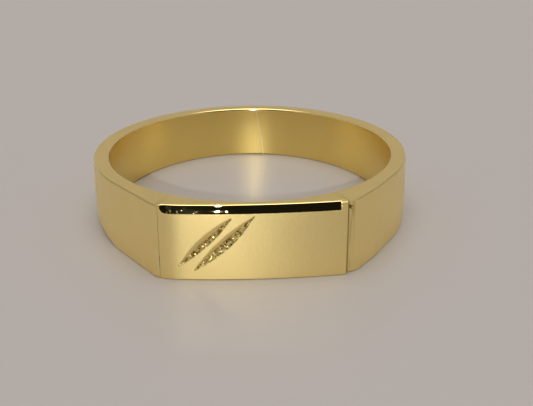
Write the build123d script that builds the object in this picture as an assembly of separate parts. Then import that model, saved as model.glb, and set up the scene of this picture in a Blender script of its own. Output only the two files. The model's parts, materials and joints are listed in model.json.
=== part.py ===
from build123d import *
import math
import os

# A signet ring made from a strip of yellow gold, lying on one of its side faces.
#
# The ring is drawn upright about its finger bore: the bore axis is Z, the signet face looks
# along -Y, and the ring is symmetrical about the plane Z = 0.  Its two side faces draw
# together towards the back, so at the end it is tilted by half that taper and lies flat on
# Z = 0, with the bore axis passing through the origin.

# --- driving dimensions, in millimetres and degrees --------------------------------------

FINGER_BORE = 19.0        # inside diameter of the hoop
BACK_WALL = 1.05          # thickness of the strip round the back
FRONT_WALL = 0.74         # bore to the crest of the signet face
HEAD_WIDTH = 4.88         # width of the ring across the signet face
BACK_WIDTH = 3.68         # width of the ring across the back
CROWN_RADIUS = 50.0       # slight roundness of the signet face, from end to end
SHOULDER_ANGLE = 35.0     # where a flat shoulder leaves the round back, in front of the X axis
EDGE_BREAK = 0.08         # chamfer that breaks every long edge

ROLL_FROM = -5.0          # X where the face starts to roll over at its left end
ROLL_TO = -6.2            # X where that roll ends, on the left shoulder
ROLL_RISE = 0.084         # height of its arc over a straight cut, so that it leaves the face smoothly

LEFT_LAND = 0.12          # shoulder corner to the plate's left end
RIGHT_LAND = 0.50         # shoulder corner to the plate's right end
PLATE_THICKNESS = 0.32    # gold plate let into the front
SOLDER_FILM = 0.04        # solder under the plate and at its ends
STEP_HEIGHT = 0.19        # the plate's right end stands this far proud of the shank
LAND_SLOPE = 20.0         # the filed land beyond that step falls away to the shoulder

BEVEL_DROP = 0.52         # bright-cut bevel, measured down the face
BEVEL_DEPTH = 0.22        # the same bevel, measured back along the side face
BEVEL_STOP = 0.38         # the bevel ends this far short of the plate's right end

CUT_DEPTH = 0.18          # depth of an engraved lens cut at mid-length
# each cut: X and Z of its middle, length tip to tip, width of its upper and lower flanks
CUTS = ((-3.07, 0.09, 4.75, 0.50, 0.27), (-1.94, -0.01, 5.28, 0.40, 0.40))
CUT_ANGLE = 44.0          # the cuts climb from left to right

SEAM_WIDTH = 0.10         # solder in the joint that closes the hoop at the back
SEAM_PLACE = 1.08         # X of that joint at mid-width, a little to one side of the middle
SEAM_SLANT = -8.7         # it was sawn out of square: its top lies further towards -X

# --- sizes that follow from them ----------------------------------------------------------

BORE_RADIUS = FINGER_BORE / 2
BACK_RADIUS = BORE_RADIUS + BACK_WALL
FACE_DISTANCE = BORE_RADIUS + FRONT_WALL
CROWN_CENTRE = CROWN_RADIUS - FACE_DISTANCE
PLATE_UNDERSIDE = CROWN_RADIUS - PLATE_THICKNESS
SEAT_RADIUS = PLATE_UNDERSIDE - SOLDER_FILM
RING_DEPTH = FACE_DISTANCE + BACK_RADIUS
TAPER_SLOPE = (HEAD_WIDTH - BACK_WIDTH) / 2 / RING_DEPTH
TAPER_ANGLE = math.degrees(math.atan(TAPER_SLOPE))
AXIS_HALF_WIDTH = HEAD_WIDTH / 2 - TAPER_SLOPE * FACE_DISTANCE
REACH = 2 * RING_DEPTH    # long enough for a tool to pass right through the ring


def face_y(x):
    """Y of the crowned signet face at a distance x from the middle."""
    return CROWN_CENTRE - math.sqrt(CROWN_RADIUS**2 - x**2)


def shoulder_corner():
    """X of the corner where a flat shoulder would meet the crowned face.

    The shoulder is the line x cos(a) - y sin(a) = BACK_RADIUS, tangent to the round back,
    and the crown is a circle about (0, CROWN_CENTRE).  They meet nearest the face here.
    """
    angle = math.radians(SHOULDER_ANGLE)
    centre_to_line = BACK_RADIUS + CROWN_CENTRE * math.sin(angle)
    half_chord = math.sqrt(CROWN_RADIUS**2 - centre_to_line**2)
    return centre_to_line * math.cos(angle) - half_chord * math.sin(angle)


PLATE_LEFT = -(shoulder_corner() - LEFT_LAND)
PLATE_RIGHT = shoulder_corner() - RIGHT_LAND


def rolled_end():
    """Plan of what the file took off the face's left end, outside an arc that rolls it over."""
    angle = math.radians(SHOULDER_ANGLE)
    start = (ROLL_FROM, face_y(ROLL_FROM))
    end = (ROLL_TO, -(BACK_RADIUS + ROLL_TO * math.cos(angle)) / math.sin(angle))
    chord = math.hypot(start[0] - end[0], start[1] - end[1])
    out_x, out_y = (start[1] - end[1]) / chord, (end[0] - start[0]) / chord
    middle = ((start[0] + end[0]) / 2 + ROLL_RISE * out_x, (start[1] + end[1]) / 2 + ROLL_RISE * out_y)
    roll = ThreePointArc(start, middle, end)
    return make_face(roll + Polyline(end, (ROLL_TO, -REACH), (ROLL_FROM, -REACH), start))


def ring_outline():
    """Plan of the whole ring: round back, flat shoulders, crowned front rolled at the left, round bore."""
    angle = math.radians(SHOULDER_ANGLE)
    leaves_x = BACK_RADIUS * math.cos(angle)
    leaves_y = -BACK_RADIUS * math.sin(angle)
    shoulders_meet = -BACK_RADIUS / math.sin(angle)
    right_leaf = (leaves_x, leaves_y)
    left_leaf = (-leaves_x, leaves_y)
    kite = make_face(Polyline((0, 0), right_leaf, (0, shoulders_meet), left_leaf, (0, 0)))
    crown = Pos(0, CROWN_CENTRE) * Circle(CROWN_RADIUS)
    return ((kite + Circle(BACK_RADIUS)) & crown) - rolled_end() - Circle(BORE_RADIUS)


def side_slab():
    """The space between the two side faces, which draw together towards the back."""
    front_half = AXIS_HALF_WIDTH + TAPER_SLOPE * REACH
    back_half = AXIS_HALF_WIDTH - TAPER_SLOPE * REACH
    corners = [(-REACH, -front_half), (REACH, -back_half), (REACH, back_half), (-REACH, front_half)]
    profile = make_face(Plane.YZ * Polyline(*corners, corners[0]))
    return extrude(profile, REACH, both=True)


def ring_blank():
    """The outside of the finished ring as one solid, before it is divided into its pieces."""
    blank = extrude(ring_outline(), HEAD_WIDTH, both=True) & side_slab()
    side_faces = blank.faces().sort_by(Axis.Z)
    rims = side_faces[0].edges() + side_faces[-1].edges()
    return chamfer(rims, EDGE_BREAK)


def crown_layer(outer_radius, inner_radius, x_from, x_to):
    """A crowned layer across the front, between two radii about the crown's centre."""
    ring = Circle(outer_radius) - Circle(inner_radius)
    layer = extrude(Pos(0, CROWN_CENTRE) * ring, HEAD_WIDTH, both=True)
    return layer & front_window(x_from, x_to)


def front_window(x_from, x_to):
    """Everything in front of the bore axis between two X positions."""
    length = x_to - x_from
    return Pos(x_from + length / 2, -REACH / 2, 0) * Box(length, REACH, REACH)


def land_cut():
    """What is filed away beyond the plate's right end, down to the sloping land."""
    start = (PLATE_RIGHT, face_y(PLATE_RIGHT) + STEP_HEIGHT)
    end = (PLATE_RIGHT + REACH, start[1] + REACH * math.tan(math.radians(LAND_SLOPE)))
    profile = make_face(Polyline(start, end, (end[0], -REACH), (PLATE_RIGHT, -REACH), start))
    return extrude(profile, HEAD_WIDTH, both=True)


def seam_slit():
    """The slanting slit between the two ends of the strip, near the middle of the back."""
    slit = Pos(SEAM_PLACE, BORE_RADIUS + BACK_WALL / 2, 0) * Rot(0, SEAM_SLANT, 0)
    return slit * Box(SEAM_WIDTH, 2 * BACK_WALL, 2 * HEAD_WIDTH)


def bevel_cutter():
    """A cone about the crown's centre line that takes the bevel off the plate's upper edge.

    Its edge is drawn past the face and past the side face, on the same slope.
    """
    low = (-FACE_DISTANCE - BEVEL_DEPTH, HEAD_WIDTH / 2 - 2 * BEVEL_DROP)
    high = (-FACE_DISTANCE + 2 * BEVEL_DEPTH, HEAD_WIDTH / 2 + BEVEL_DROP)
    section = make_face(Plane.YZ * Polyline(low, high, (low[0], high[1]), low))
    cone = revolve(section, Axis((0, CROWN_CENTRE, 0), (0, 0, 1)), 360)
    return cone & front_window(-REACH, PLATE_RIGHT - BEVEL_STOP)


def lens_cutter(x, z, length, upper_width, lower_width):
    """One engraved cut, as left by a V-edged wheel rolled into the face along its length.

    The wheel's radius is the one whose mark has the stated length on the crowned face.  Its
    rim is drawn to twice the depth of the cut, where each flank is twice as wide.
    """
    along = math.radians(CUT_ANGLE)
    tilt = math.asin(x / CROWN_RADIUS)
    reach = length / 2
    face_drop = (reach * math.cos(along)) ** 2 / (2 * CROWN_RADIUS)
    wheel_radius = reach**2 / (2 * (CUT_DEPTH - face_drop))
    rim = [(0, -CUT_DEPTH), (2 * upper_width, CUT_DEPTH), (-2 * lower_width, CUT_DEPTH)]
    section = make_face(Plane.YZ * Polyline(*rim, rim[0]))
    wheel = revolve(section, Axis((0, 0, wheel_radius - CUT_DEPTH), (0, 1, 0)), 360)
    outward = (math.sin(tilt), -math.cos(tilt), 0)
    length_direction = (math.cos(along) * math.cos(tilt), math.cos(along) * math.sin(tilt), math.sin(along))
    return Plane((x, face_y(x), z), x_dir=length_direction, z_dir=outward) * wheel


def seat_space():
    """The seat let into the strip's front, which holds the plate and its solder."""
    ends = (PLATE_LEFT - SOLDER_FILM, PLATE_RIGHT + SOLDER_FILM)
    return crown_layer(CROWN_RADIUS + REACH, SEAT_RADIUS, *ends)


def plate_space():
    """The part of that seat which the plate takes up."""
    return crown_layer(CROWN_RADIUS + REACH, PLATE_UNDERSIDE, PLATE_LEFT, PLATE_RIGHT)


def shank(blank):
    """The strip: a hoop open at the back seam, with the let-in seat across its front."""
    return blank - seat_space() - land_cut() - seam_slit()


def signet_plate(blank):
    """The crowned plate, with its bevel and its two engraved cuts."""
    plate = (blank & plate_space()) - bevel_cutter()
    for cut in CUTS:
        plate -= lens_cutter(*cut)
    return plate


def plate_solder(blank):
    """The film of solder under the plate and up both its ends."""
    return (blank & seat_space()) - plate_space() - land_cut()


def shank_seam_solder(blank):
    """The solder that closes the hoop at the back."""
    return blank & seam_slit()


def laid_down(piece):
    """Moves a piece from the upright drawing to where it lies, its lower side face on Z = 0."""
    return Rot(-TAPER_ANGLE, 0, 0) * Pos(0, 0, AXIS_HALF_WIDTH) * piece


os.makedirs("parts", exist_ok=True)
ring = ring_blank()
for make_piece in (shank, signet_plate, plate_solder, shank_seam_solder):
    export_step(laid_down(make_piece(ring)), f"parts/{make_piece.__name__}.step")
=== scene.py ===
# %% [markdown]
# # A gold signet ring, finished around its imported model
#
# The ring is four pieces: a strip bent into a hoop, a thin plate let into its front, the film
# of solder that holds the plate, and the solder that closes the hoop at the back.  The packed
# model has every piece at its true size and place.  This lesson gives them the surfaces that
# a jeweller's files, buffs and gravers leave.

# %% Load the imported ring
import json
import math

import bmesh
import bpy
import numpy as np
from mathutils import Matrix, Vector

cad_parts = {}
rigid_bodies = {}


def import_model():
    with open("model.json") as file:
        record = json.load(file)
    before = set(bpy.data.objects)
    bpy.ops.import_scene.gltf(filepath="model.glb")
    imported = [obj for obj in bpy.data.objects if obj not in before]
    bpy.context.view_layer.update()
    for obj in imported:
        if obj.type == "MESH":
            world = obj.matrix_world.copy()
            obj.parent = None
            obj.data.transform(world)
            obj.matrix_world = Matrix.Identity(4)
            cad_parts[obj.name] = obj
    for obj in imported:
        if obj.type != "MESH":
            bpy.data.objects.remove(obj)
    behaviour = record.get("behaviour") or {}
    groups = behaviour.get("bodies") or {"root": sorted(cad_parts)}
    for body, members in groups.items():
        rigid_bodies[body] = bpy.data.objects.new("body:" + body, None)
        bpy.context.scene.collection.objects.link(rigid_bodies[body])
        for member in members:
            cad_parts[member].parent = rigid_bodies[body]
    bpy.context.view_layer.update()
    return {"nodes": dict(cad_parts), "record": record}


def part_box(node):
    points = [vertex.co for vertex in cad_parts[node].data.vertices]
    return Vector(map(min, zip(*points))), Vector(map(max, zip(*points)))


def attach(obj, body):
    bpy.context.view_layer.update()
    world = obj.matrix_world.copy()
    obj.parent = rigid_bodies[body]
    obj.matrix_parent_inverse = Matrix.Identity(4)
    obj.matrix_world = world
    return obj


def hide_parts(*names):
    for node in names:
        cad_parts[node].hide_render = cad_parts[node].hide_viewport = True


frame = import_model()
print("packed pieces:", sorted(frame["nodes"]))

# %% [markdown]
# ## Sizes
#
# A ring is drawn around its finger bore, so the lesson works in the bore's own coordinates, in
# millimetres: Z is the bore's axis, the signet face looks along -Y, and Z = 0 is the middle of
# the band.  The bore's radius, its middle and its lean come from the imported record, and the
# plate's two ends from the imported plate.  The rest are the jeweller's own sizes.

# %% Sizes of the ring, in millimetres
MM = 0.001
mounts = {mount["name"]: mount for mount in frame["record"]["mounts"]}
BORE = mounts["finger_bore"]["dims"]["r_mm"]
bore_middle = np.array(mounts["finger_bore"]["pos_m"])
bore_axis = np.array(mounts["finger_bore"]["axis"])
bore_axis = bore_axis / np.linalg.norm(bore_axis)

shank_low, shank_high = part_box("shank")
plate_low, plate_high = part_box("signet_plate")
BACK = (shank_high.x - shank_low.x) / 2 / MM
PLATE_LEFT = plate_low.x / MM
PLATE_RIGHT = plate_high.x / MM
CROWN = 50.0
FRONT_WALL = 0.74
CROWN_Y = CROWN - BORE - FRONT_WALL
SHOULDER = math.radians(35)
PLATE_THICK = 0.32
FILM = 0.04
SIDE_SLOPE = bore_axis[1] / bore_axis[2]
HALF_WIDTH = float(np.linalg.norm(bore_middle)) / MM
print(f"bore {2 * BORE} mm, back radius {BACK:.2f}, half width at the axis {HALF_WIDTH:.3f}")
print(f"plate from {PLATE_LEFT:.3f} to {PLATE_RIGHT:.3f}")

# %% [markdown]
# ## From the bore's coordinates to the table
#
# The ring's two side faces draw together towards the back.  Lying on one of them, the bore
# leans back by half that taper.  Turning the finished points by that lean, once, is simpler
# than tilting every formula, and it leaves each object itself unturned.

# %% Laying the points down
def lay_down(points):
    """Bore coordinates in millimetres to the frame's metres.

    The point is the bore's middle plus x and y times the two directions across the bore, and
    z times the direction of its leaning axis.
    """
    x_direction = np.array((1.0, 0.0, 0.0))
    y_direction = np.cross(bore_axis, x_direction)
    x, y, z = points[..., 0:1], points[..., 1:2], points[..., 2:3]
    return bore_middle + MM * (x * x_direction + y * y_direction + z * bore_axis)


def half_width(y):
    """Half the band's width at a distance y from the axis: it falls evenly from the face to the back."""
    return HALF_WIDTH - SIDE_SLOPE * y


print("the lower side face lies at", lay_down(np.array((0.0, 0.0, -half_width(0.0)))).round(7))

# %% [markdown]
# ## A skin from a grid of points
#
# Every piece is one closed skin.  Its points form a grid: one direction goes along the strip
# and the other goes once round its section.  Rows of four-sided faces join them, and a single
# flat face closes each end.  The skin also gets a UV map, U round the section and V along the
# strip, because a buff leaves its lines along the strip, and a few values at each point that
# say how each place was finished and where shade is painted into its colour.

# %% Building a skin
def skin(name, points, marks, second_finish=None, plain=None):
    """Makes a closed mesh from points[i, j]: i along the strip, j round the section, which joins up.

    UV is the distance round the section and along the strip, in centimetres, measured on the
    plain points where relief would disturb it.  marks holds a value at each point under each
    name.  second_finish says which steps of j take the second material.
    """
    rows, columns = points.shape[:2]
    index = np.arange(rows * columns).reshape(rows, columns)
    following = np.roll(index, -1, axis=1)
    quads = np.stack((index[:-1], following[:-1], following[1:], index[1:]), axis=-1).reshape(-1, 4)
    caps = [index[0, ::-1].tolist(), index[-1].tolist()]
    mesh = bpy.data.meshes.new(name)
    mesh.from_pydata(lay_down(points).reshape(-1, 3), [], quads.tolist() + caps)

    smooth = points if plain is None else plain
    wrapped = np.concatenate((smooth, smooth[:, :1]), axis=1)
    around_steps = np.linalg.norm(np.diff(wrapped, axis=1), axis=-1)
    around = np.concatenate((np.zeros((rows, 1)), np.cumsum(around_steps, axis=1)), axis=1)
    along_steps = np.linalg.norm(np.diff(smooth.mean(axis=1), axis=0), axis=-1)
    along = np.concatenate(((0.0,), np.cumsum(along_steps)))
    uv = np.stack((around, np.broadcast_to(along[:, None], around.shape)), axis=-1) / 10
    corners = np.stack((uv[:-1, :-1], uv[:-1, 1:], uv[1:, 1:], uv[1:, :-1]), axis=2).reshape(-1, 2)
    cap_uv = np.concatenate((uv[0, :-1][::-1], uv[-1, :-1]))
    layer = mesh.uv_layers.new(name="strip")
    layer.data.foreach_set("uv", np.concatenate((corners, cap_uv)).ravel())

    for label, values in marks.items():
        attribute = mesh.attributes.new(label, "FLOAT", "POINT")
        attribute.data.foreach_set("value", np.broadcast_to(values, (rows, columns)).ravel())
    if second_finish is not None:
        finish = np.broadcast_to(second_finish, (rows - 1, columns)).ravel()
        mesh.polygons.foreach_set("material_index", np.concatenate((finish, (0, 0))).astype(int))

    work = bmesh.new()
    work.from_mesh(mesh)
    if work.calc_volume(signed=True) < 0:
        bmesh.ops.reverse_faces(work, faces=work.faces)
    volume = work.calc_volume(signed=True)
    work.to_mesh(mesh)
    work.free()
    mesh.shade_smooth()
    mesh.set_sharp_from_angle(angle=math.radians(40))
    piece = bpy.data.objects.new(name, mesh)
    bpy.context.scene.collection.objects.link(piece)
    print(f"{name}: {len(mesh.polygons)} faces, {volume / MM**3:.2f} cubic mm")
    return piece


# %% [markdown]
# ## Unevenness of hand work
#
# A solder joint, a chipped edge or the bottom of an engraved cut is uneven.  Random numbers on
# a square lattice, blended smoothly between its corners, give that at any grain size.  The
# seed is fixed, so the ring comes out the same each time.

# %% Smooth random heights
def uneven(x, z, size, seed):
    """Smooth random heights from 0 to 1: random lattice corners, `size` apart, blended between them."""
    lattice = np.random.default_rng(seed).random((512, 512))
    u, v = np.broadcast_arrays(x / size + 256, z / size + 256)
    i, j = np.floor(u).astype(int) % 511, np.floor(v).astype(int) % 511
    s, t = u - np.floor(u), v - np.floor(v)
    s, t = s * s * (3 - 2 * s), t * t * (3 - 2 * t)
    near = lattice[i, j] * (1 - s) + lattice[i + 1, j] * s
    far = lattice[i, j + 1] * (1 - s) + lattice[i + 1, j + 1] * s
    return near * (1 - t) + far * t


print("average height", uneven(np.linspace(0, 20, 500), 0.3, 0.1, 1).mean().round(3))

# %% [markdown]
# ## The line of the front
#
# Seen from above, the signet face is a very slightly crowned line, and each shoulder is a
# straight flat that leaves the round back at a tangent.  At its left end the face rolls over
# towards the shoulder, where a file and then a buff went over the corner, and meets the
# shoulder at a soft edge.

# %% The rolled left end
ROLL_FROM, ROLL_TO, ROLL_POWER = -3.8, -6.2, 4.0
SOFT_EDGE = 0.12


def shoulder_line(x):
    """Y of the left shoulder's flat at x."""
    return -(BACK + x * math.cos(SHOULDER)) / math.sin(SHOULDER)


def crown_line(x, radius=CROWN):
    """Y of a circle about the crown's centre: the signet face itself, unless another radius is given."""
    return CROWN_Y - np.sqrt(radius**2 - x**2)


roll_drop = shoulder_line(ROLL_TO) - float(crown_line(ROLL_TO))


def front_line(x):
    """Y of the front at x.

    It is the crown's circle, then the circle plus a power of the distance into the roll, then
    the shoulder.  Where the roll and the shoulder are nearly equal, their edge is rounded off.
    """
    into = np.clip((ROLL_FROM - x) / (ROLL_FROM - ROLL_TO), 0, 1.3)
    roll = crown_line(x) + roll_drop * into**ROLL_POWER
    shoulder = shoulder_line(x)
    apart = np.clip(1 - np.abs(roll - shoulder) / SOFT_EDGE, 0, 1)
    corner = np.maximum(roll, shoulder) + SOFT_EDGE / 4 * apart**2
    return np.where(x > ROLL_FROM, crown_line(x), np.where(x > ROLL_TO - 0.4, corner, shoulder))


print("the roll falls", round(roll_drop, 3), "mm behind the crown at its end")

# %% [markdown]
# ## The path of the strip
#
# The strip's outside is followed once round, seen from above: from the seam round the right of
# the back, along the right shoulder, over the filed land, down the step into the seat, across
# the seat, up its left end, round the left corner and home along the left shoulder.  Points
# lie close together where it turns and wider apart along the flats.

# %% The right shoulder and its land
STEP = 0.19
LAND_SLOPE = math.radians(20)
RIGHT_ROUNDING = 1.3
BELLY = 0.09
shoulder_out = np.array((math.cos(SHOULDER), -math.sin(SHOULDER)))
land_out = np.array((math.sin(LAND_SLOPE), -math.cos(LAND_SLOPE)))
land_top = np.array((PLATE_RIGHT, float(front_line(PLATE_RIGHT)) + STEP))
inner_distances = (BACK - RIGHT_ROUNDING, land_out @ land_top - RIGHT_ROUNDING)
right_centre = np.linalg.solve(np.stack((shoulder_out, land_out)), inner_distances)
print("the right corner is rounded about", right_centre.round(3))


def spaced(start, end, step):
    """Points along a straight line, both ends included, about `step` apart."""
    start, end = np.array(start, float), np.array(end, float)
    count = max(2, int(np.linalg.norm(end - start) / step) + 1)
    return start + np.linspace(0, 1, count)[:, None] * (end - start)


def arc(centre, radius, from_angle, to_angle, count):
    """Points on a circle, with angles counted from +Y towards +X."""
    angle = np.linspace(from_angle, to_angle, count)[:, None]
    return np.array(centre) + radius * np.concatenate((np.sin(angle), np.cos(angle)), axis=1)


# %% [markdown]
# ## Nine runs once round
#
# The hoop's joint was sawn at a small angle beside the middle of the back, and the path starts
# and ends at its two sides.  The seat is a circle about the crown's centre, as far below the
# face as the plate and the film of solder are thick.  The right shoulder is not quite flat:
# rubbing it on a leather buff left it a little bellied, highest at its middle.

# %% Once round the strip
SEAM_X = 1.08
SEAM_SLANT = math.tan(math.radians(-8.7))
SEAM_HALF = 0.05
SEAT = CROWN - PLATE_THICK - FILM
SHORT_OF_CORNER = (0.02, 0.03)

seam_angle = math.asin(SEAM_X / BACK)
half_angle = SEAM_HALF / BACK
leaving = math.pi / 2 + SHOULDER
seat_right = PLATE_RIGHT + FILM
seat_left = PLATE_LEFT - FILM
land_foot = land_top + FILM * np.array((1.0, math.tan(LAND_SLOPE)))
corner_start = right_centre + RIGHT_ROUNDING * shoulder_out + SHORT_OF_CORNER
right_flat = spaced(BACK * shoulder_out, corner_start, 0.15)
belly_shape = np.sin(np.linspace(0, math.pi, len(right_flat)))[:, None] ** 2
right_flat += BELLY * belly_shape * shoulder_out
seat_x = np.linspace(seat_right, seat_left, 60)
left_end = -BACK * math.cos(SHOULDER)
rolled_x = np.linspace(seat_left, ROLL_TO - 0.25, 44)
left_x = np.concatenate((rolled_x, np.linspace(ROLL_TO - 0.3, left_end, 26)))
runs = [
    arc((0, 0), BACK, seam_angle + half_angle, leaving, 170),
    right_flat[1:],
    arc(right_centre, RIGHT_ROUNDING, leaving, math.pi - LAND_SLOPE, 9),
    spaced(right_centre + RIGHT_ROUNDING * land_out, land_foot, 0.025)[1:],
    spaced(land_foot, (seat_right, crown_line(seat_right, SEAT)), 0.05)[1:],
    np.stack((seat_x, crown_line(seat_x, SEAT)), axis=1)[1:],
    spaced((seat_left, crown_line(seat_left, SEAT)), (seat_left, front_line(seat_left)), 0.06)[1:-1],
    np.stack((left_x, front_line(left_x)), axis=1),
    arc((0, 0), BACK, 2 * math.pi - leaving, 2 * math.pi + seam_angle - half_angle, 170)[1:],
]
outside = np.concatenate(runs)
run_of_point = np.repeat(np.arange(len(runs)), [len(run) for run in runs])
print(len(outside), "sections round the strip")

# %% [markdown]
# ## The section of the strip
#
# Each section runs from the bore to the outside: two flat side faces, the bore's wall and the
# outer wall, with the four long edges softly rounded, because a ring with sharp edges would
# cut.  One small table says how far each point of the section lies from the bore and how high,
# in shares of the wall's thickness, the half width and the roundings.  Multiplying it out
# with the sizes of all the sections gives the whole strip at once.

# %% The table of a rounded section
def half_section(outer_shares, flat_shares, inner_shares, turns):
    """The upper half of the section, from the outer wall's middle over the side face to the bore's.

    Columns: shares of the wall, of the inner rounding, of the outer rounding and of the round
    over, which add up to the distance from the bore; then shares of the half width and of the
    inner and outer roundings, which add up to the height.
    """
    turn = np.linspace(0, math.pi / 2, turns)[1:-1]
    back = turn[::-1]
    f, t, g = outer_shares, flat_shares, inner_shares
    no_f, no_t, no_g, no_turn = (0 * shares for shares in (f, t, g, turn))
    wall = (f**0, no_f, no_f, -(f**2), f, no_f, -f)
    outer_edge = (turn**0, no_turn, np.cos(turn) - 1, -(turn**0), turn**0, no_turn, np.sin(turn) - 1)
    flat = (t, 1 - t, -t, -t, t**0, no_t, no_t)
    inner_edge = (no_turn, 1 - np.cos(back), no_turn, no_turn, turn**0, np.sin(back) - 1, no_turn)
    bore = (no_g, no_g, no_g, no_g, g, -g, no_g)
    parts = (wall, outer_edge, flat, inner_edge, bore)
    table = np.concatenate([np.stack(part, axis=1) for part in parts])
    place = np.repeat(np.arange(5), [len(part[0]) for part in parts])
    return table, place


outer_shares = np.concatenate((np.linspace(0, 0.7, 6), np.linspace(0.73, 0.985, 14), (1.0,)))
flat_shares = np.concatenate(((1.0, 0.99), np.linspace(0.95, 0.05, 7), (0.01, 0.0)))
inner_shares = np.concatenate(((1.0, 0.99), np.linspace(0.96, 0.0, 20)))
upper, upper_place = half_section(outer_shares, flat_shares, inner_shares, 9)
lower = (upper * (1, 1, 1, 1, -1, -1, -1))[-2:0:-1]
section = np.concatenate((upper, lower))
place = np.concatenate((upper_place, upper_place[-2:0:-1]))
is_lower = (np.arange(len(section)) >= len(upper)).astype(float)
OUTER_WALL, OUTER_EDGE, SIDE_FACE, INNER_EDGE, BORE_WALL = range(5)
print(len(section), "points in each section")


def strip(outer_line, inner_line, inner_rounding, upper_rounding, lower_rounding, round_over):
    """Points of a strip: the section's table times the sizes of each section.

    The sizes are the wall, the half width, the roundings of the bore's two edges and of the
    outer upper and lower edges, and how far the outer wall curves back by those edges.
    """
    across = outer_line - inner_line
    wall = np.linalg.norm(across, axis=1)
    out = across / wall[:, None]
    outer_rounding = upper_rounding[:, None] * (1 - is_lower) + lower_rounding[:, None] * is_lower
    distance = np.stack((wall, inner_rounding, round_over), axis=1) @ section[:, [0, 1, 3]].T
    distance = distance + outer_rounding * section[:, 2]
    plan = inner_line[:, None] + distance[..., None] * out[:, None]
    height = half_width(plan[..., 1]) * section[:, 4] + inner_rounding[:, None] * section[:, 5]
    height = height + outer_rounding * section[:, 6]
    return np.concatenate((plan, height[..., None]), axis=-1)


def slanted(points, strength):
    """Turns points about the bore's axis in proportion to their height: the joint runs out of square."""
    radius = np.linalg.norm(points[..., :2], axis=-1)
    turn = strength[:, None] * points[..., 2] * SEAM_SLANT / radius
    x, y = points[..., 0], points[..., 1]
    turned = (x * np.cos(turn) + y * np.sin(turn), y * np.cos(turn) - x * np.sin(turn), points[..., 2])
    return np.stack(turned, axis=-1)


# %% [markdown]
# ## The bore's side of each section
#
# A section joins a point outside to a point on the bore.  Straight towards the axis is right
# nearly everywhere.  At the seat's left end the outside doubles back a little, so the angle is
# held there until the outside has passed it, and no two sections cross.  At the seam the joint
# was sawn straight through and not towards the axis, so the bore's end of it lies further round.
# The roundings grow towards the back, which the palm rubs most, nearly vanish in the seat, and
# the lower edge is worn much rounder on the left shoulder.

# %% The strip's skin
FRONT_EDGE, BACK_EXTRA, SEAT_LESS = 0.10, 0.06, 0.09
BORE_EDGE, BORE_EXTRA = 0.09, 0.04
ROUND_OVER = 0.04
WORN_AT = np.radians((236, 250, 262, 280, 310))
WORN_BY = (0.0, 0.50, 0.50, 0.28, 0.0)
angle = np.unwrap(np.arctan2(outside[:, 0], outside[:, 1]))
angle = np.maximum.accumulate(angle) + np.linspace(0, 1e-4, len(angle))
from_seam = np.minimum(angle - angle[0], angle[-1] - angle)
near_seam = np.clip(1 - from_seam / 0.15, 0, 1)
sawn_straight = math.asin(SEAM_X / BORE) - math.asin(SEAM_X / BACK)
inner_angle = angle + near_seam * sawn_straight
inside = BORE * np.stack((np.sin(inner_angle), np.cos(inner_angle)), axis=1)
under_plate = np.isin(run_of_point, (4, 5, 6)).astype(float)
behind = np.clip(outside[:, 1] / BACK, 0, 1)
upper_rounding = FRONT_EDGE - SEAT_LESS * under_plate + BACK_EXTRA * behind
lower_rounding = upper_rounding + np.interp(angle, WORN_AT, WORN_BY)
inner_rounding = BORE_EDGE + BORE_EXTRA * behind
round_over = ROUND_OVER * (1 - under_plate)
shank_points = strip(outside, inside, inner_rounding, upper_rounding, lower_rounding, round_over)
shank_points = slanted(shank_points, near_seam)
print("strip:", shank_points.shape, "points")

# %% [markdown]
# ## A pit in the solder
#
# Beside the step, just below the upper edge, the solder did not quite fill the corner and left
# a small lumpy pit.  It is pressed into the strip's own points, inwards from the land.  Shade is
# painted into the colour: in the pit, more where it is deeper, at the foot of the step, in the
# file's upright streaks, and as a thin dark line along the shoulders' upper edges.  A point value
# says how much.

# %% Pressing the pit
PIT_X, PIT_Z = 5.60, 2.00
STREAK = 0.006
STREAKS_END = 5.9
on_land = np.isin(run_of_point, (2, 3))[:, None] & (place == OUTER_WALL)
pit_x, pit_z = shank_points[..., 0] - PIT_X, shank_points[..., 2] - PIT_Z
pit_reach = np.sqrt((pit_x / 0.20) ** 2 + ((pit_z + 0.25 * pit_x) / 0.13) ** 2)
lumps = uneven(shank_points[..., 0], shank_points[..., 2], 0.07, 11)
pit = np.clip(1 - pit_reach, 0, 1) ** 0.6 * (0.05 + 0.11 * lumps)
streaks = uneven(shank_points[..., 0], shank_points[..., 2] * 0.1, 0.09, 12)
# A band at the foot of the step, used only for painted shade.
step_foot_shade = np.exp(-(((shank_points[..., 0] - seat_right) / 0.05) ** 2))
pressed = np.where(on_land, pit + STREAK * streaks, 0.0)
shank_points[..., :2] -= pressed[..., None] * land_out
print(f"the pit is {pit[on_land].max():.3f} mm deep")

# Painted shade: darker in the deeper streaks, in the pit by its depth and at the step's foot.
streak_shade = 0.5 * streaks**3 * (shank_points[..., 0] < STREAKS_END)
recess = np.clip(np.where(on_land, 30 * pit + step_foot_shade + streak_shade, 0.0), 0, 1)
edge_polish = np.isin(place, (OUTER_EDGE, INNER_EDGE)).astype(float)
# A thin dark line of painted shade along the shoulders' upper edges.
shoulders = np.radians((100, 122, 146, 149, 208, 213, 238, 256))
edge_shade = np.interp(angle, shoulders, (0.0, 0.26, 0.26, 0.0, 0.0, 0.34, 0.34, 0.0))[:, None]
recess = np.maximum(recess, edge_shade * (place == OUTER_EDGE) * (1 - is_lower))
side_steps = ((place == SIDE_FACE) & (np.roll(place, -1) == SIDE_FACE)).astype(int)
side_steps[place == BORE_WALL] = 2
shank = skin(
    "shank_strip",
    shank_points,
    {"polish": edge_polish, "recess": recess},
    side_steps,
)

# %% [markdown]
# ## The joint at the back
#
# The hoop's two ends were sawn, sprung together and soldered.  The solder fills that slit with
# the strip's own section, so the same function makes it.  Its skin stands a few thousandths
# of a millimetre proud or sunk from place to place, as melted metal freezes.

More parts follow.
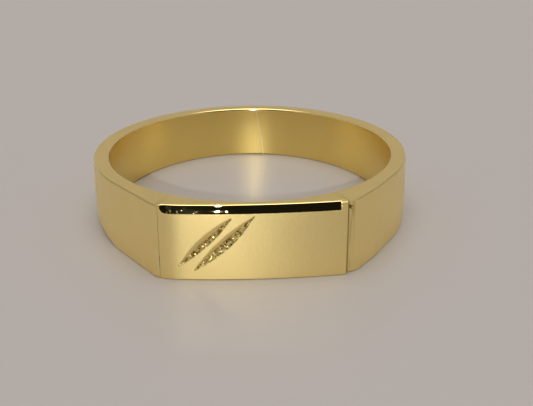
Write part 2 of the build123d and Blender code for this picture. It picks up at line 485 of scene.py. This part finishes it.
# %% The seam's solder
SWELL = 0.006
seam_steps = np.linspace(-1, 1, 7)
seam_outer_angle = seam_angle + seam_steps * half_angle
seam_inner_angle = seam_outer_angle + sawn_straight
seam_outside = BACK * np.stack((np.sin(seam_outer_angle), np.cos(seam_outer_angle)), axis=1)
seam_inside = BORE * np.stack((np.sin(seam_inner_angle), np.cos(seam_inner_angle)), axis=1)
seam_sizes = (inner_rounding, upper_rounding, lower_rounding, round_over)
seam_points = strip(seam_outside, seam_inside, *(np.full(len(seam_steps), size[0]) for size in seam_sizes))
swell = SWELL * (1 - seam_steps**2)[:, None] * uneven(seam_points[..., 2], seam_steps[:, None], 0.16, 21)
swell = np.where(place == BORE_WALL, -swell, np.where(place == OUTER_WALL, -0.5 * np.abs(swell), 0.0))
radial = seam_points[..., :2] / np.linalg.norm(seam_points[..., :2], axis=-1, keepdims=True)
seam_points[..., :2] += swell[..., None] * radial
seam_points = slanted(seam_points, np.ones(len(seam_steps)))
seam = skin("back_seam_solder", seam_points, {"recess": 0.0})

# %% [markdown]
# ## The signet plate
#
# The plate is a slightly crowned strip of gold, 0.32 mm thick.  A bright bevel was cut along
# its upper edge with a polished graver, rounded off at the left and stopped square at the
# right.  Its skin is drawn as a height field: at each place along the plate and up the face,
# a depth below the front's line.  Columns lie close together where the two engraved cuts are,
# so that the rough flanks of the cuts are real relief.

# %% Columns along the plate
EDGE = 0.08
END_EDGE = 0.05
BEVEL_STOP = PLATE_RIGHT - 0.38
BEVEL_LEFT, BEVEL_ROUNDS = -5.72, -5.28
BEVEL_DROP, BEVEL_DEPTH = 0.52, 0.22
HIGH_EDGE_ROUNDING = 0.09
BEVEL_HEIGHT = BEVEL_DROP - HIGH_EDGE_ROUNDING
bevel_slope = BEVEL_DEPTH / BEVEL_DROP
columns = np.unique(np.concatenate((
    np.linspace(PLATE_LEFT, PLATE_LEFT + 0.12, 9),
    np.arange(PLATE_LEFT + 0.14, -4.95, 0.03),
    np.arange(-4.95, 0.06, 0.024),
    np.arange(0.06, BEVEL_STOP - 0.02, 0.06),
    (BEVEL_STOP - 0.008, BEVEL_STOP, BEVEL_STOP + 0.012),
    np.linspace(BEVEL_STOP + 0.05, PLATE_RIGHT - END_EDGE - 0.01, 7),
    PLATE_RIGHT - END_EDGE * (1 - np.sin(np.linspace(0, math.pi / 2, 7))),
)))
front_y = front_line(columns)
half = half_width(front_y)
print(len(columns), "columns")


def bevel_foot(x):
    """Height of the bevel's lower edge: level along the plate, then a quarter ellipse up at its left end."""
    level = half_width(front_line(x)) - BEVEL_DROP
    rounded = np.clip((BEVEL_ROUNDS - x) / (BEVEL_ROUNDS - BEVEL_LEFT), 0, 1)
    return level + BEVEL_HEIGHT * (1 - np.sqrt(1 - rounded**2))


# %% [markdown]
# ## The engraved cuts
#
# Each cut was made by rolling a V-edged wheel, or rocking a graver, along a slanting line: it
# is deepest at mid-length and runs out to a point at both ends.  The depth at the valley falls
# off with the square of the distance from the middle.  From the valley, each flank climbs
# evenly to the face.  The upper flank is left smooth.  The lower one was worked over with a
# point, which leaves rows of small dents that sparkle, and shade is painted into the deepest
# of them.

# %% Depth of the cuts
CUT_DEPTH = 0.18
CUT_ANGLE = math.radians(44)
UPPER_HOLLOW = 2.1
DENT_DEPTH = 0.16
CUTS = ((-3.07, 0.09, 4.75, 0.50, 0.27), (-1.94, -0.01, 5.28, 0.40, 0.40))


def engraved(x, z):
    """Depth of the cuts, how far each point is on a smooth or a dented flank, and its painted shade.

    Distances u along a cut and v across it are measured from its middle.  The valley's depth
    is CUT_DEPTH times one less the square of u over half the length, and each flank's width
    shrinks with it.  The lower flank rises evenly, and the upper one as a power of what is
    left of its width, steeply at the valley and gently at the face.
    """
    depth, smooth, dented, dent_shade = (np.zeros(np.broadcast(x, z).shape) for _ in range(4))
    for number, (middle_x, middle_z, length, upper_width, lower_width) in enumerate(CUTS):
        u = (x - middle_x) * math.cos(CUT_ANGLE) + (z - middle_z) * math.sin(CUT_ANGLE)
        v = (z - middle_z) * math.cos(CUT_ANGLE) - (x - middle_x) * math.sin(CUT_ANGLE)
        v = v + 0.02 * (uneven(u, 0.0 * v, 0.35, 31 + number) - 0.5)
        share = 1 - (2 * u / length) ** 2
        upper_flank = np.clip(1 - v / (upper_width * share.clip(1e-3)), 0, None) ** UPPER_HOLLOW
        lower_flank = np.clip(1 + v / (lower_width * share.clip(1e-3)), 0, None)
        shape = CUT_DEPTH * np.clip(share, 0, None) * np.where(v > 0, upper_flank, lower_flank)
        within_cut = np.clip(shape / 0.015, 0, 1)
        dents = uneven(u, v, 0.085, 41 + number) * 0.7 + uneven(u, v, 0.05, 51 + number) * 0.3
        on_lower = within_cut * (v <= 0.01)
        shape = shape + on_lower * DENT_DEPTH * (dents - 0.45)
        depth = np.maximum(depth, np.clip(shape, 0, None))
        smooth = np.maximum(smooth, within_cut * (v > 0.01))
        dented = np.maximum(dented, on_lower)
        # Painted shade in the deeper dents of the lower flank.
        dent_shade = np.maximum(dent_shade, on_lower * np.clip(2.2 * dents - 0.75, 0, 0.85))
    return depth, smooth, dented, dent_shade


# %% [markdown]
# ## Rows up the face and the bevel
#
# From the lower edge, rows climb the face to the bevel's foot, then the bevel, which is drawn
# slightly round because the graver was rocked.  Its polish is nearly a mirror, so relief of a
# few thousandths of a millimetre shows: chatter everywhere, and deeper marks on the left where
# the graver entered.  Around the place that catches the lamp it is left clean.

# %% Rows of the plate
quarter = np.linspace(0, math.pi / 2, 6)
foot = bevel_foot(columns)[:, None]
half_at = half[:, None]
low = -half_at + EDGE
face_rows = np.linspace(0, 1, 172)
rows_of_face = low + (foot - low) * face_rows
cut_depth, smooth_flank, dented_flank, cut_shade = engraved(columns[:, None], rows_of_face)

BEVEL_BULGE = 0.022
STAR_X, DEEP_MARKS_X = -2.6, -3.2
bevel_rows = np.array((0.012, 0.08, 0.2, 0.32, 0.44, 0.56, 0.68, 0.8, 0.92, 0.985))
top_of_bevel = half_at - HIGH_EDGE_ROUNDING
rows_of_bevel = foot + (top_of_bevel - foot) * bevel_rows
bevelled = (columns < BEVEL_STOP - 0.004)[:, None]
across_bevel = (rows_of_bevel - foot) / BEVEL_HEIGHT
bulge = BEVEL_BULGE * 4 * across_bevel * (1 - across_bevel)
chatter = uneven(columns[:, None] * 0.06, rows_of_bevel, 0.06, 61) - 0.5
dashes = uneven(columns[:, None] * 0.35, rows_of_bevel, 0.07, 62) - 0.5
within_bevel = (bevel_rows > 0.1) * (bevel_rows < 0.9)
beside_star = np.clip(np.abs(columns[:, None] - STAR_X) / 0.6 - 0.5, 0, 1)
specks = uneven(columns[:, None], rows_of_bevel, 0.10, 63) - 0.5
left_part = np.clip((DEEP_MARKS_X - columns[:, None]) / 0.3, 0, 1)
deeper_marks = 0.003 * dashes + (0.002 + 0.028 * left_part) * specks
graver_marks = (0.005 * chatter + beside_star * deeper_marks) * within_bevel
bevel_depth = np.clip(bevel_slope * (rows_of_bevel - foot) - bulge + graver_marks, 0, None)
bevel_depth = np.where(bevelled, bevel_depth, 0.0)
deepest = np.where(bevelled, bevel_slope * (top_of_bevel - foot), 0.0)

turn = quarter[1:-1]
low_edge_z = -half_at + EDGE * (1 - np.sin(turn))[::-1]
low_edge_depth = np.broadcast_to(EDGE * (1 - np.cos(turn))[::-1], low_edge_z.shape)
high_edge_z = top_of_bevel + HIGH_EDGE_ROUNDING * np.sin(quarter[1:])
high_edge_depth = deepest + HIGH_EDGE_ROUNDING * (1 - np.cos(quarter[1:]))
print("the face has", rows_of_face.shape, "points")

# %% [markdown]
# ## Once round the plate
#
# The plate's section is a closed line too: up the lower side, round its edge, up the face and
# the bevel, round the upper edge, down the upper side and back along the underside.  Each part
# is a block of columns in one grid, so one skin holds the whole plate.

# %% Once round the plate's section
under_depth = (crown_line(columns, CROWN - PLATE_THICK) - front_y)[:, None]
side_shares = np.array((0.0, 0.5, 0.97))
low_side_depth = under_depth + (EDGE - under_depth) * side_shares
high_side_depth = high_edge_depth[:, -1:] + (under_depth - high_edge_depth[:, -1:]) * (1 - side_shares)[::-1]
under_heights = half_at * np.array((0.6, 0.0, -0.6))

no_relief = np.zeros_like(rows_of_face)
depth_blocks = (low_side_depth, low_edge_depth, no_relief, bevel_depth, high_edge_depth, high_side_depth)
depth_blocks += (np.broadcast_to(under_depth, under_heights.shape),)
low_side_z = np.broadcast_to(-half_at, low_side_depth.shape)
high_side_z = np.broadcast_to(half_at, high_side_depth.shape)
height_blocks = (low_side_z, low_edge_z, rows_of_face, rows_of_bevel, high_edge_z, high_side_z, under_heights)
block = np.repeat(np.arange(7), [part.shape[1] for part in height_blocks])
LOW_SIDE, LOW_EDGE, FACE, BEVEL, HIGH_EDGE, HIGH_SIDE, UNDERSIDE = range(7)
depth = np.concatenate(depth_blocks, axis=1)
height = np.concatenate(height_blocks, axis=1)
print("plate:", depth.shape, "points")

# %% [markdown]
# ## The plate's two ends
#
# The right end is a crisp small rounding above the step.  The left end was filed level with
# the strip, and the file pulled small chips from it, more on its lower half; the chips and a
# line of painted shade show the seam.  Near both sides of the band the solder closed the seam,
# and it fades out.


# %% Softened and chipped ends
def open_seam(z):
    """1 along the open middle of the left seam, falling to 0 near the band's two sides."""
    return np.clip((SEAM_REACH - np.abs(z)) / SEAM_FADE, 0, 1)


def end_drop(distance, rounding):
    """How far a rounded end falls: a quarter circle over the last `rounding` of the plate."""
    into = np.clip(1 - distance / rounding, 0, 1)
    return rounding * (1 - np.sqrt(1 - into**2))


SEAM_REACH, SEAM_FADE = 1.85, 0.3
outer = np.isin(block, (LOW_EDGE, FACE, BEVEL, HIGH_EDGE))
chipping = open_seam(height) * uneven(height, 0.0 * height, 0.28, 71)
chipping = chipping * np.interp(height, (-0.6, 0.4), (1.0, 0.3))
left_drop = end_drop(columns[:, None] - PLATE_LEFT, 0.012 + 0.11 * chipping)
right_drop = end_drop(PLATE_RIGHT - columns[:, None], END_EDGE + 0.0 * height)
curved_back = ROUND_OVER * (height / half_at) ** 2
side_fade = np.clip((under_depth - depth) / under_depth, 0, 1) * np.isin(block, (LOW_SIDE, HIGH_SIDE))
depth = depth + (block == FACE) * left_drop + outer * (right_drop + curved_back) + side_fade * curved_back


def plate_points(depth):
    """The height field in place: Y is the front's line plus the depth, and heights follow the sides."""
    y = front_y[:, None] + depth
    z = height * half_width(y) / half_at
    return np.stack((np.broadcast_to(columns[:, None], depth.shape), y, z), axis=-1)


relief = np.zeros_like(depth)
relief[:, block == FACE] = cut_depth
flank_marks = {"smooth_flank": np.zeros_like(depth), "dented_flank": np.zeros_like(depth)}
flank_marks["smooth_flank"][:, block == FACE] = smooth_flank
flank_marks["dented_flank"][:, block == FACE] = dented_flank
# Painted shade: a dark line along the plate's left end where the seam is open.
seam_shade = np.exp(-(((columns[:, None] - PLATE_LEFT) / 0.035) ** 2)) * open_seam(height)
recess = np.where(outer, 0.25 * seam_shade, 0.0)
# Painted shade in the cuts' deeper dents.
recess[:, block == FACE] = np.maximum(recess[:, block == FACE], cut_shade)
bright = np.isin(block, (BEVEL, HIGH_EDGE)) * bevelled
dull_end = np.clip((BEVEL_STOP - columns - 0.01) / 0.05, 0, 1)[:, None]
# Painted shade: the bevel's left tip is made dark.
bevel_tip_shade = np.clip((BEVEL_LEFT + 0.45 - columns) / 0.2, 0, 1)[:, None] * (block == BEVEL)
recess = np.maximum(recess, bevel_tip_shade)
side_of_plate = np.isin(block, (LOW_SIDE, HIGH_SIDE)) & (np.roll(block, -1) != LOW_EDGE)
plate = skin(
    "signet_face_plate",
    plate_points(depth + relief),
    {"polish": bright * dull_end, "recess": recess, **flank_marks},
    side_of_plate.astype(int),
    plain=plate_points(depth),
)
print(f"the deepest cut is {cut_depth.max():.3f} mm")

# %% [markdown]
# ## The solder under the plate
#
# Solder fills the gap under the plate and up both its ends.  It is a bent film, 0.04 mm thick,
# so its skin is a pair of lines a film's thickness apart.  At the left end it lies a little
# below the surface and its colour is darkened there with painted shade, which lets the plate's
# end show as a thin line.  Its edge at the foot of the right step is painted fully dark.

# %% The film's skin
def along_circle(x, radius):
    """Points at each x on a circle about the crown's centre, without the first and the last."""
    return np.stack((x, crown_line(x, radius)), axis=1)[1:-1]


def along_end(x, from_y, to_y, count):
    """Points along the plate's end at x, from one Y to the other."""
    return np.stack((np.full(count, x), np.linspace(from_y, to_y, count)), axis=1)


SUNK = 0.012
under = CROWN - PLATE_THICK
right_wall = spaced((seat_right, land_foot[1]), (seat_right, crown_line(seat_right, SEAT)), 0.05)
left_wall = spaced((seat_left, crown_line(seat_left, SEAT)), (seat_left, front_line(seat_left)), 0.06)
seat_floor = along_circle(np.linspace(seat_right, seat_left, 60), SEAT)
seat_side = np.concatenate((right_wall, seat_floor, left_wall))
right_face = along_end(PLATE_RIGHT, land_top[1], crown_line(PLATE_RIGHT, under), len(right_wall))
left_face = along_end(PLATE_LEFT, crown_line(PLATE_LEFT, under), front_line(PLATE_LEFT), len(left_wall))
plate_underside = along_circle(np.linspace(PLATE_RIGHT, PLATE_LEFT, 60), under)
plate_side = np.concatenate((right_face, plate_underside, left_face))
film_heights = np.linspace(-1, 1, 25)


def film_wall(line, heights):
    """A wall of the film: each point of its line, at shares of the band's half width there."""
    z = half_width(line[:, 1:2]) * heights
    plan = np.broadcast_to(line[:, None], (*z.shape, 2))
    return np.concatenate((plan, z[..., None]), axis=-1)


film_walls = (film_wall(seat_side, film_heights), film_wall(plate_side, film_heights[::-1]))
film_points = np.concatenate(film_walls, axis=1)
open_at_left = open_seam(film_points[-1, :, 2])
film_points[-1, :, 1] += SUNK * open_at_left
# Painted shade: fully dark at the edge by the step's foot, darker at the left end where the seam is open.
film_shade = np.zeros(film_points.shape[:2])
film_shade[0] = 1.0
film_shade[-1] = 0.15 * open_at_left
film_sides = np.zeros(2 * len(film_heights))
film_sides[[len(film_heights) - 1, -1]] = 1
film = skin("plate_solder_film", film_points, {"recess": film_shade}, film_sides)

# %% [markdown]
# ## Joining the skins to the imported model
#
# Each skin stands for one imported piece.  A ring has no moving part, so all four ride on the
# one body.  The box of each skin is compared with the box of the piece that it stands for.

# %% Riding the frame
for piece, node, finish in (
    (shank, "shank", "gold"),
    (plate, "signet_plate", "plate_gold"),
    (film, "plate_solder", "solder"),
    (seam, "shank_seam_solder", "solder"),
):
    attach(piece, "root")
    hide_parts(node)
    corners = np.array(piece.bound_box)
    low_corner, high_corner = corners.min(axis=0), corners.max(axis=0)
    packed_low, packed_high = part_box(node)
    apart = np.abs(np.concatenate((low_corner - packed_low, high_corner - packed_high))).max()
    print(f"{piece.name} keeps to its packed box within {apart / MM:.3f} mm")

# %% [markdown]
# ## What a tool leaves on gold
#
# Buffing sticks and files run along the strip and leave fine parallel lines.  Handling and the
# buff's uneven pressure leave soft patches, a millimetre or two across, where the polish is a
# little duller.  Emery leaves a fine even grain.  The group also paints shade: a dark colour in
# hollows, at seams and along some edges.  All the finishes are made of these, so they are one
# group of nodes, and each material sets its own amounts.  At each place the group gives a
# colour, a patch value for the roughness and a height, which is nought where the point value
# "polish" says that the marks were polished out.

# %% The group of marks
def link(tree, from_socket, to_socket):
    """Joins two sockets."""
    tree.links.new(from_socket, to_socket)


def noise_of(tree, vector, scale, detail):
    """A noise texture of that scale on the given coordinates."""
    node = tree.nodes.new("ShaderNodeTexNoise")
    node.inputs["Scale"].default_value = scale
    node.inputs["Detail"].default_value = detail
    link(tree, vector, node.inputs["Vector"])
    return node.outputs["Fac"]


def point_value(tree, label):
    """The value kept at the mesh's points under that label."""
    node = tree.nodes.new("ShaderNodeAttribute")
    node.attribute_name = label
    return node.outputs["Fac"]


marks_group = bpy.data.node_groups.new("tool marks", "ShaderNodeTree")
marks_group.interface.new_socket("Gold", in_out="INPUT", socket_type="NodeSocketColor")
marks_group.interface.new_socket("Colour", in_out="OUTPUT", socket_type="NodeSocketColor")
for label in ("Lines", "Grain"):
    marks_group.interface.new_socket(label, in_out="INPUT", socket_type="NodeSocketFloat")
for label in ("Height", "Patches"):
    marks_group.interface.new_socket(label, in_out="OUTPUT", socket_type="NodeSocketFloat")
entry = marks_group.nodes.new("NodeGroupInput")
leaving_group = marks_group.nodes.new("NodeGroupOutput")
strip_map = marks_group.nodes.new("ShaderNodeUVMap")
strip_map.uv_map = "strip"
stretch = marks_group.nodes.new("ShaderNodeMapping")
stretch.inputs["Scale"].default_value = (220.0, 4.0, 1.0)
link(marks_group, strip_map.outputs["UV"], stretch.inputs["Vector"])
place_map = marks_group.nodes.new("ShaderNodeTexCoord")
lines = noise_of(marks_group, stretch.outputs["Vector"], 1.0, 3.0)
grain = noise_of(marks_group, place_map.outputs["Object"], 6000.0, 2.0)
patches = noise_of(marks_group, place_map.outputs["Object"], 650.0, 3.0)
weigh_lines = marks_group.nodes.new("ShaderNodeMath")
weigh_lines.operation = "MULTIPLY"
link(marks_group, lines, weigh_lines.inputs[0])
link(marks_group, entry.outputs["Lines"], weigh_lines.inputs[1])
add_grain = marks_group.nodes.new("ShaderNodeMath")
add_grain.operation = "MULTIPLY_ADD"
link(marks_group, grain, add_grain.inputs[0])
link(marks_group, entry.outputs["Grain"], add_grain.inputs[1])
link(marks_group, weigh_lines.outputs[0], add_grain.inputs[2])
left_rough = marks_group.nodes.new("ShaderNodeMath")
left_rough.operation = "SUBTRACT"
left_rough.inputs[0].default_value = 1.0
link(marks_group, point_value(marks_group, "polish"), left_rough.inputs[1])
height_left = marks_group.nodes.new("ShaderNodeMath")
height_left.operation = "MULTIPLY"
link(marks_group, add_grain.outputs[0], height_left.inputs[0])
link(marks_group, left_rough.outputs[0], height_left.inputs[1])
link(marks_group, height_left.outputs[0], leaving_group.inputs["Height"])
link(marks_group, patches, leaving_group.inputs["Patches"])
print("marks group:", [item.name for item in marks_group.interface.items_tree])

# %% [markdown]
# ## Patches and painted shade in the colour
#
# Where the polish is duller the gold is a trace redder and darker, so the patches also tint it.
# A dark brown, painted shade, covers the gold in hollows, at seams and along some edges, as
# much as a point value says.

# %% Colour in the group of marks
PATCH_TINT = (0.97, 0.95, 0.90, 1.0)
# The next colour is painted shade, laid into hollows, seams and edges.
PAINTED_SHADE_COLOUR = (0.24, 0.145, 0.03, 1.0)
tint = marks_group.nodes.new("ShaderNodeMix")
tint.data_type = "RGBA"
tint.blend_type = "MULTIPLY"
tint.inputs["B"].default_value = PATCH_TINT
link(marks_group, patches, tint.inputs["Factor"])
link(marks_group, entry.outputs["Gold"], tint.inputs["A"])
# Painted shade: a point value darkens the gold towards that colour.
painted_shade_mix = marks_group.nodes.new("ShaderNodeMix")
painted_shade_mix.data_type = "RGBA"
painted_shade_mix.inputs["B"].default_value = PAINTED_SHADE_COLOUR
link(marks_group, point_value(marks_group, "recess"), painted_shade_mix.inputs["Factor"])
link(marks_group, tint.outputs["Result"], painted_shade_mix.inputs["A"])
link(marks_group, painted_shade_mix.outputs["Result"], leaving_group.inputs["Colour"])
print("the group gives", [socket.name for socket in leaving_group.inputs if socket.name])

# %% [markdown]
# ## Finishes of gold
#
# Gold is a metal, so its colour is the colour of its reflections: a warm yellow that is bright
# in red and green and weak in blue.  The finishes differ mostly in how rough they are.  Buffed
# along its length, the outside scatters light across the strip and hardly along it, which is
# what an anisotropic gloss with its tangent across the strip does.  The filed sides and the
# bore are given darker copies of the same gold, which is painted shade, and the solder is a
# paler alloy.  The bevel was cut with a polished graver, so it is nearly a mirror.

# %% A finish
YELLOW_GOLD = (0.97, 0.785, 0.345)
# The next two colours are darker copies of the same gold: painted shade for the sides and the bore.
SHADED_SIDE_GOLD = (0.88, 0.70, 0.29)
SHADED_BORE_GOLD = (0.86, 0.67, 0.23)
SOLDER_GOLD = (0.95, 0.80, 0.42)


def finish_of_gold(name, colour, roughness, across, lines, grain, relief, marked=()):
    """A gold material.

    roughness: its least and most, following the patches.  across: how much more it scatters
    across the strip.  lines, grain, relief: amounts of the marks and their height in metres.
    marked: (point value, roughness) pairs for places that were finished in another way.
    """
    material = bpy.data.materials.new(name)
    material.use_nodes = True
    tree = material.node_tree
    shader = tree.nodes["Principled BSDF"]
    shader.inputs["Metallic"].default_value = 1.0
    shader.inputs["Anisotropic"].default_value = across
    marks = tree.nodes.new("ShaderNodeGroup")
    marks.node_tree = marks_group
    marks.inputs["Gold"].default_value = (*colour, 1.0)
    marks.inputs["Lines"].default_value = lines
    marks.inputs["Grain"].default_value = grain
    link(tree, marks.outputs["Colour"], shader.inputs["Base Color"])

    spread = tree.nodes.new("ShaderNodeMapRange")
    spread.inputs["From Min"].default_value = 0.3
    spread.inputs["From Max"].default_value = 0.7
    spread.inputs["To Min"].default_value = roughness[0]
    spread.inputs["To Max"].default_value = roughness[1]
    link(tree, marks.outputs["Patches"], spread.inputs["Value"])
    rough = spread.outputs["Result"]
    for label, value in marked:
        mix = tree.nodes.new("ShaderNodeMix")
        link(tree, point_value(tree, label), mix.inputs["Factor"])
        link(tree, rough, mix.inputs["A"])
        mix.inputs["B"].default_value = value
        rough = mix.outputs["Result"]
    link(tree, rough, shader.inputs["Roughness"])

    bump = tree.nodes.new("ShaderNodeBump")
    bump.inputs["Distance"].default_value = relief
    link(tree, marks.outputs["Height"], bump.inputs["Height"])
    link(tree, bump.outputs["Normal"], shader.inputs["Normal"])
    tangent = tree.nodes.new("ShaderNodeTangent")
    tangent.direction_type = "UV_MAP"
    tangent.uv_map = "strip"
    link(tree, tangent.outputs["Tangent"], shader.inputs["Tangent"])
    return material


buffed = finish_of_gold(
    "gold, buffed along", YELLOW_GOLD, (0.35, 0.43), 0.55, 0.6, 0.3, 2.0e-6,
    (("polish", 0.12),),
)
# These two materials carry the painted shade of the darker gold colours.
filed_side = finish_of_gold("gold, side filed flat", SHADED_SIDE_GOLD, (0.36, 0.46), 0.0, 0.1, 1.0, 1.5e-5)
bore_gold = finish_of_gold("gold, bore", SHADED_BORE_GOLD, (0.30, 0.35), 0.2, 0.5, 0.3, 1.5e-6)
face_gold = finish_of_gold(
    "gold, signet face", YELLOW_GOLD, (0.37, 0.43), 0.55, 0.2, 1.0, 6.0e-6,
    (("polish", 0.014), ("smooth_flank", 0.24), ("dented_flank", 0.09)),
)
soldered = finish_of_gold("gold solder", SOLDER_GOLD, (0.22, 0.36), 0.0, 0.0, 1.0, 3e-6)
for piece, finishes in (
    (shank, (buffed, filed_side, bore_gold)),
    (plate, (face_gold, filed_side)),
    (film, (soldered, filed_side)),
    (seam, (soldered,)),
):
    for material in finishes:
        piece.data.materials.append(material)
print("finishes:", [material.name for material in bpy.data.materials if material.users])

# %% [markdown]
# ## The table and the studio
#
# The ring lies on a plain pale table top with a slight gloss.  The gloss shows the bore's
# bright middle as a soft streak on the table inside the ring.

# %% The table top
TABLE = 0.6
table_mesh = bpy.data.meshes.new("table_top")
table_corners = [(-TABLE, -TABLE, 0), (TABLE, -TABLE, 0), (TABLE, TABLE, 0), (-TABLE, TABLE, 0)]
table_mesh.from_pydata(table_corners, [], [(0, 1, 2, 3)])
table_top = bpy.data.objects.new("table_top", table_mesh)
bpy.context.scene.collection.objects.link(table_top)
pale = bpy.data.materials.new("pale table top")
pale.use_nodes = True
pale_shader = pale.node_tree.nodes["Principled BSDF"]
pale_shader.inputs["Base Color"].default_value = (0.515, 0.48, 0.46, 1.0)
pale_shader.inputs["Roughness"].default_value = 0.36
table_mesh.materials.append(pale)
print("table top", 2 * TABLE, "m wide")

# %% [markdown]
# ## The studio
#
# Around the ring is a soft, even light, as inside a white tent, brighter overhead.  The tent is
# open in front, where the camera stands: the bevel faces that opening, which is why it looks
# dark.  One small lamp next to the camera puts a point of light on the bevel and the back rim.


# %% The studio light
def towards(azimuth, elevation):
    """The direction to a place in the studio: azimuth 0 is in front of the face, and both are in degrees."""
    a, e = math.radians(azimuth), math.radians(elevation)
    return np.array((math.sin(a) * math.cos(e), -math.cos(a) * math.cos(e), math.sin(e)))


studio = bpy.data.worlds.new("studio")
bpy.context.scene.world = studio
studio.use_nodes = True
sky = studio.node_tree
background = sky.nodes["Background"]
direction = sky.nodes.new("ShaderNodeTexCoord")


def glow_towards(centre, inner_angle, outer_angle, inner_value, outer_value):
    """The inner value inside the inner angle about a direction, fading to the outer at the outer angle."""
    facing = sky.nodes.new("ShaderNodeVectorMath")
    facing.operation = "DOT_PRODUCT"
    facing.inputs[1].default_value = centre
    link(sky, direction.outputs["Generated"], facing.inputs[0])
    fade = sky.nodes.new("ShaderNodeMapRange")
    fade.interpolation_type = "SMOOTHSTEP"
    fade.inputs["From Min"].default_value = math.cos(math.radians(outer_angle))
    fade.inputs["From Max"].default_value = math.cos(math.radians(inner_angle))
    fade.inputs["To Min"].default_value = outer_value
    fade.inputs["To Max"].default_value = inner_value
    link(sky, facing.outputs["Value"], fade.inputs["Value"])
    return fade.outputs["Result"]


overhead = glow_towards(towards(0, 90), 12, 28, 1.0, 0.0)
opening = glow_towards(towards(0, 24), 28, 42, 0.02, 1.0)
walls = sky.nodes.new("ShaderNodeMix")
walls.data_type = "RGBA"
walls.inputs["A"].default_value = (0.44, 0.412, 0.388, 1.0)
walls.inputs["B"].default_value = (3.2, 3.15, 3.1, 1.0)
link(sky, overhead, walls.inputs["Factor"])
link(sky, walls.outputs["Result"], background.inputs["Color"])
link(sky, opening, background.inputs["Strength"])

lamp_data = bpy.data.lights.new("small lamp", "SUN")
lamp_data.energy = 1.0
lamp_data.angle = math.radians(0.8)
lamp = bpy.data.objects.new("small lamp", lamp_data)
bpy.context.scene.collection.objects.link(lamp)
lamp.rotation_mode = "QUATERNION"
lamp_direction = towards(-5.4, 23.2)
lamp.rotation_quaternion = Vector(lamp_direction).to_track_quat("Z", "Y")
print("lamp towards", lamp_direction.round(3))

# %% [markdown]
# ## The camera
#
# The camera looks down at the ring from in front, a little to the left, from about 70 mm away.
# Its place is given by the direction back from the ring, the distance and the point it looks
# at, and a very small roll, with angles in radians.  The lens is in millimetres, for a sensor
# 36 mm wide.

# %% The camera's place
AZIMUTH, ELEVATION, ROLL = -0.0511, 0.4440, -0.0021
LOOKS_AT = MM * np.array((1.1095, 0.0, 0.2472))
DISTANCE = 68.26 * MM
LENS = 66.087
back = towards(math.degrees(AZIMUTH), math.degrees(ELEVATION))
right = np.cross(-back, (0.0, 0.0, 1.0))
right = right / np.linalg.norm(right)
up = np.cross(right, -back)
rolled_right = math.cos(ROLL) * right + math.sin(ROLL) * up
rolled_up = np.cross(rolled_right, -back)
camera_data = bpy.data.cameras.new("camera")
camera_data.sensor_width = 36.0
camera_data.lens = LENS
camera_data.clip_start = 0.005
camera = bpy.data.objects.new("camera", camera_data)
bpy.context.scene.collection.objects.link(camera)
turned = Matrix(np.stack((rolled_right, rolled_up, back), axis=1).tolist()).to_4x4()
camera.matrix_world = Matrix.Translation((LOOKS_AT + DISTANCE * back).tolist()) @ turned
bpy.context.scene.camera = camera
bpy.context.scene.view_settings.view_transform = "Standard"
print("camera at", (LOOKS_AT + DISTANCE * back).round(4))

# %% [markdown]
# ## Ending the scene
#
# A new Blender file starts with a cube, a light and a camera of its own, which are taken out.

# %% The end
for extra in [thing for thing in bpy.data.objects if thing.name in ("Cube", "Light", "Camera")]:
    bpy.data.objects.remove(extra)
